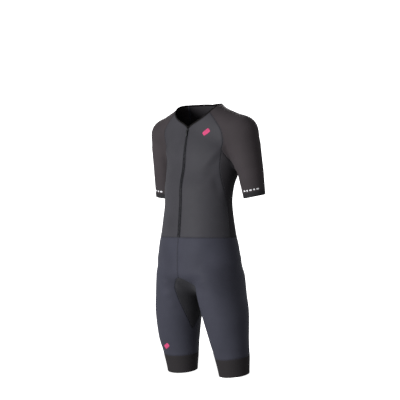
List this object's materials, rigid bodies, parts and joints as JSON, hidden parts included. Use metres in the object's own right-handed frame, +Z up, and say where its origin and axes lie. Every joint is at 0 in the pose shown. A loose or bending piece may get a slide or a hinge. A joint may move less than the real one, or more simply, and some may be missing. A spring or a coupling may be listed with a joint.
{
  "type": "triathlon suit",
  "caption": "Hollow short-sleeved triathlon suit in its worn form, with raglan sleeves, a full front zip with a swinging pull tab, and short legs with wide hem bands.",
  "frame": {"origin": "between the shoulders, level with the sides of the neckline, where the wearer holds the suit up", "axes": "+Z up, -Y the front with the zip, +X the wearer's left"},
  "size_m": [0.4834, 0.2492, 0.9635],
  "materials": {
    "front_cloth": "smooth dark grey knit with a soft sheen",
    "back_cloth": "matt near-black knit",
    "sleeve_cloth": "fine warm dark grey mesh knit",
    "sleeve_band_cloth": "smooth elastic band",
    "shorts_cloth": "dark blue-grey swim knit with a soft sheen",
    "gusset_cloth": "matt dark knit",
    "leg_band_cloth": "ribbed elastic gripper band",
    "binding_cloth": "folded elastic binding",
    "zip_tape": "woven zip tape",
    "zip_teeth": "nylon coil",
    "zip_metal": "black coated zinc"
  },
  "bodies": {
    "suit": {"front_left": "front_cloth", "front_right": "front_cloth", "back": "back_cloth", "sleeve_left": "sleeve_cloth", "sleeve_right": "sleeve_cloth", "sleeve_band_left": "sleeve_band_cloth", "sleeve_band_right": "sleeve_band_cloth", "shorts_left": "shorts_cloth", "shorts_right": "shorts_cloth", "gusset": "gusset_cloth", "leg_band_left": "leg_band_cloth", "leg_band_right": "leg_band_cloth", "neck_binding": "binding_cloth", "zip_tape_left": "zip_tape", "zip_tape_right": "zip_tape", "zip_chain": "zip_teeth", "zip_stop": "zip_teeth", "zip_slider": "zip_metal"},
    "pull": {"zip_pull": "zip_metal"}
  },
  "joints": [
    {"name": "pull_swing", "type": "hinge", "parent": "suit", "child": "pull", "pos_m": [0, -0.0641, -0.0896], "axis": [-1, 0, 0], "range_deg": [0, 150]}
  ]
}
